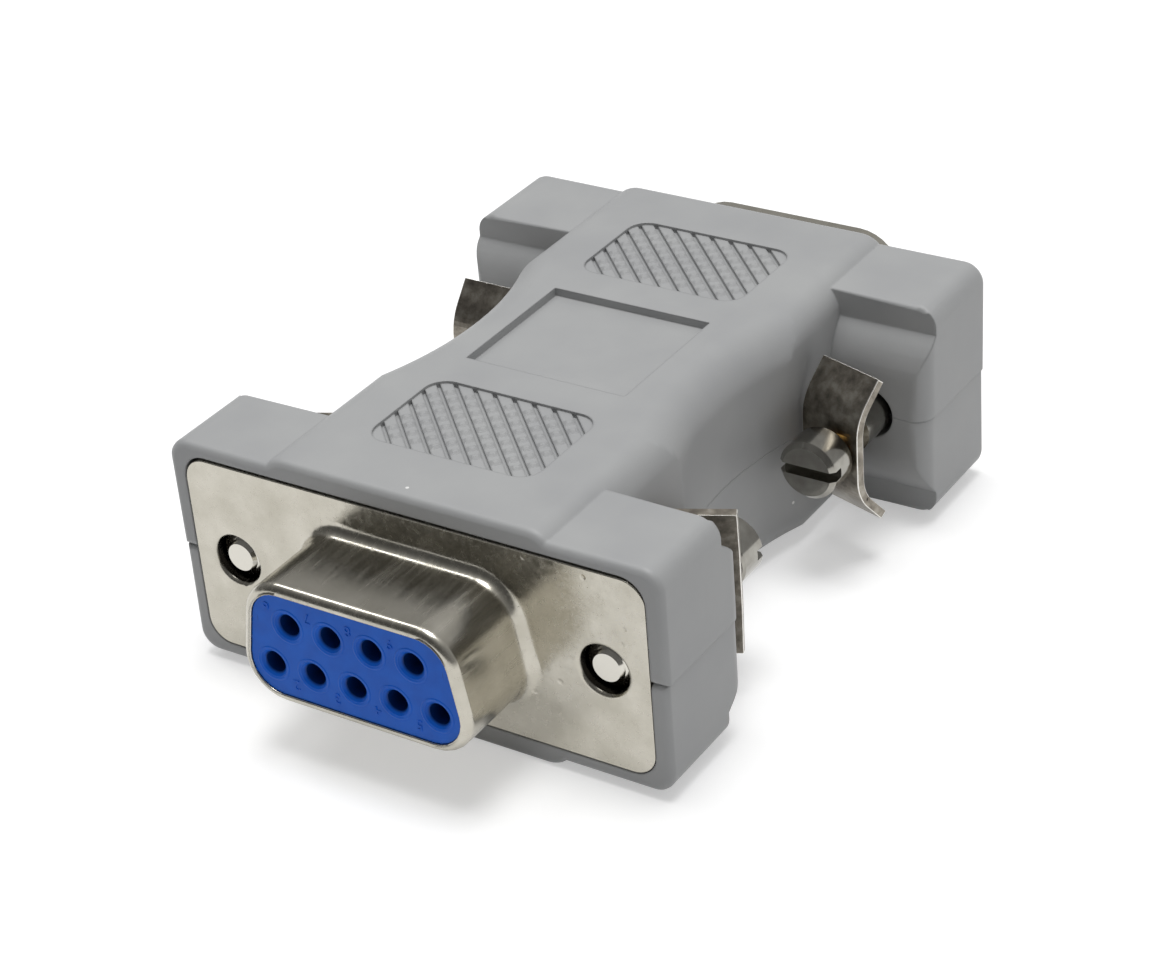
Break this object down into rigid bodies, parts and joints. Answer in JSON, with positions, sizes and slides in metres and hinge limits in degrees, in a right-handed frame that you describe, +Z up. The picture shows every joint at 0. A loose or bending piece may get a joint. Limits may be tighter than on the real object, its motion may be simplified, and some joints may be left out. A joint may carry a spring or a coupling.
{
  "type": "vga to d-sub adapter",
  "caption": "Straight adapter with a trapezoid socket at one end and a trapezoid pin plug at the other, in a waisted two-part hood with captive slotted jackscrews and spring clips.",
  "frame": {"origin": "centre of the bounding box at its bottom face, where the hood rests", "axes": "+Y runs from the socket end to the plug end, +Z is up through the upper half shell, +X is to the right seen from the socket end"},
  "size_m": [0.033, 0.0508, 0.0154],
  "materials": {
    "hood_plastic": "satin moulded grey",
    "plated_shell": "satin nickel plate",
    "blue_plastic": "satin moulded blue",
    "contact_metal": "thin gold plate",
    "screw_plate": "bright nickel plate",
    "clip_steel": "plain spring steel",
    "wire_coat": "soft wire coat"
  },
  "bodies": {
    "housing": {"hood_upper": "hood_plastic", "hood_lower": "hood_plastic", "socket_front_shell": "plated_shell", "socket_rear_shell": "plated_shell", "socket_face_insulator": "blue_plastic", "socket_back_insulator": "blue_plastic", "plug_front_shell": "plated_shell", "plug_rear_shell": "plated_shell", "plug_face_insulator": "blue_plastic", "plug_back_insulator": "blue_plastic", "socket_contact_1": "contact_metal", "socket_contact_2": "contact_metal", "socket_contact_3": "contact_metal", "socket_contact_4": "contact_metal", "socket_contact_5": "contact_metal", "socket_contact_6": "contact_metal", "socket_contact_7": "contact_metal", "socket_contact_8": "contact_metal", "socket_contact_9": "contact_metal", "plug_pin_1": "contact_metal", "plug_pin_2": "contact_metal", "plug_pin_3": "contact_metal", "plug_pin_4": "contact_metal", "plug_pin_5": "contact_metal", "plug_pin_6": "contact_metal", "plug_pin_7": "contact_metal", "plug_pin_8": "contact_metal", "plug_pin_9": "contact_metal", "plug_pin_10": "contact_metal", "plug_pin_11": "contact_metal", "plug_pin_12": "contact_metal", "plug_pin_13": "contact_metal", "plug_pin_14": "contact_metal", "plug_pin_15": "contact_metal", "wire_1": "wire_coat", "wire_2": "wire_coat", "wire_3": "wire_coat", "wire_4": "wire_coat", "wire_5": "wire_coat", "wire_6": "wire_coat", "wire_7": "wire_coat", "wire_8": "wire_coat", "wire_9": "wire_coat"},
    "clip_socket_left": {"clip_socket_left": "clip_steel"},
    "screw_socket_left": {"screw_socket_left": "screw_plate"},
    "clip_socket_right": {"clip_socket_right": "clip_steel"},
    "screw_socket_right": {"screw_socket_right": "screw_plate"},
    "clip_plug_left": {"clip_plug_left": "clip_steel"},
    "screw_plug_left": {"screw_plug_left": "screw_plate"},
    "clip_plug_right": {"clip_plug_right": "clip_steel"},
    "screw_plug_right": {"screw_plug_right": "screw_plate"}
  },
  "joints": [
    {"name": "push_socket_left", "type": "slide", "parent": "housing", "child": "clip_socket_left", "axis": [0, -1, 0], "range_m": [-0.0019, 0.0005]},
    {"name": "spin_socket_left", "type": "hinge", "parent": "clip_socket_left", "child": "screw_socket_left", "pos_m": [-0.01249, -0.0074, 0.0077], "axis": [0, 1, 0], "continuous": true},
    {"name": "push_socket_right", "type": "slide", "parent": "housing", "child": "clip_socket_right", "axis": [0, -1, 0], "range_m": [-0.0019, 0.0005]},
    {"name": "spin_socket_right", "type": "hinge", "parent": "clip_socket_right", "child": "screw_socket_right", "pos_m": [0.01249, -0.0074, 0.0077], "axis": [0, 1, 0], "continuous": true},
    {"name": "push_plug_left", "type": "slide", "parent": "housing", "child": "clip_plug_left", "axis": [0, 1, 0], "range_m": [-0.0002, 0.0022]},
    {"name": "spin_plug_left", "type": "hinge", "parent": "clip_plug_left", "child": "screw_plug_left", "pos_m": [-0.01249, 0.0061, 0.0077], "axis": [0, 1, 0], "continuous": true},
    {"name": "push_plug_right", "type": "slide", "parent": "housing", "child": "clip_plug_right", "axis": [0, 1, 0], "range_m": [-0.0002, 0.0022]},
    {"name": "spin_plug_right", "type": "hinge", "parent": "clip_plug_right", "child": "screw_plug_right", "pos_m": [0.01249, 0.0061, 0.0077], "axis": [0, 1, 0], "continuous": true}
  ]
}
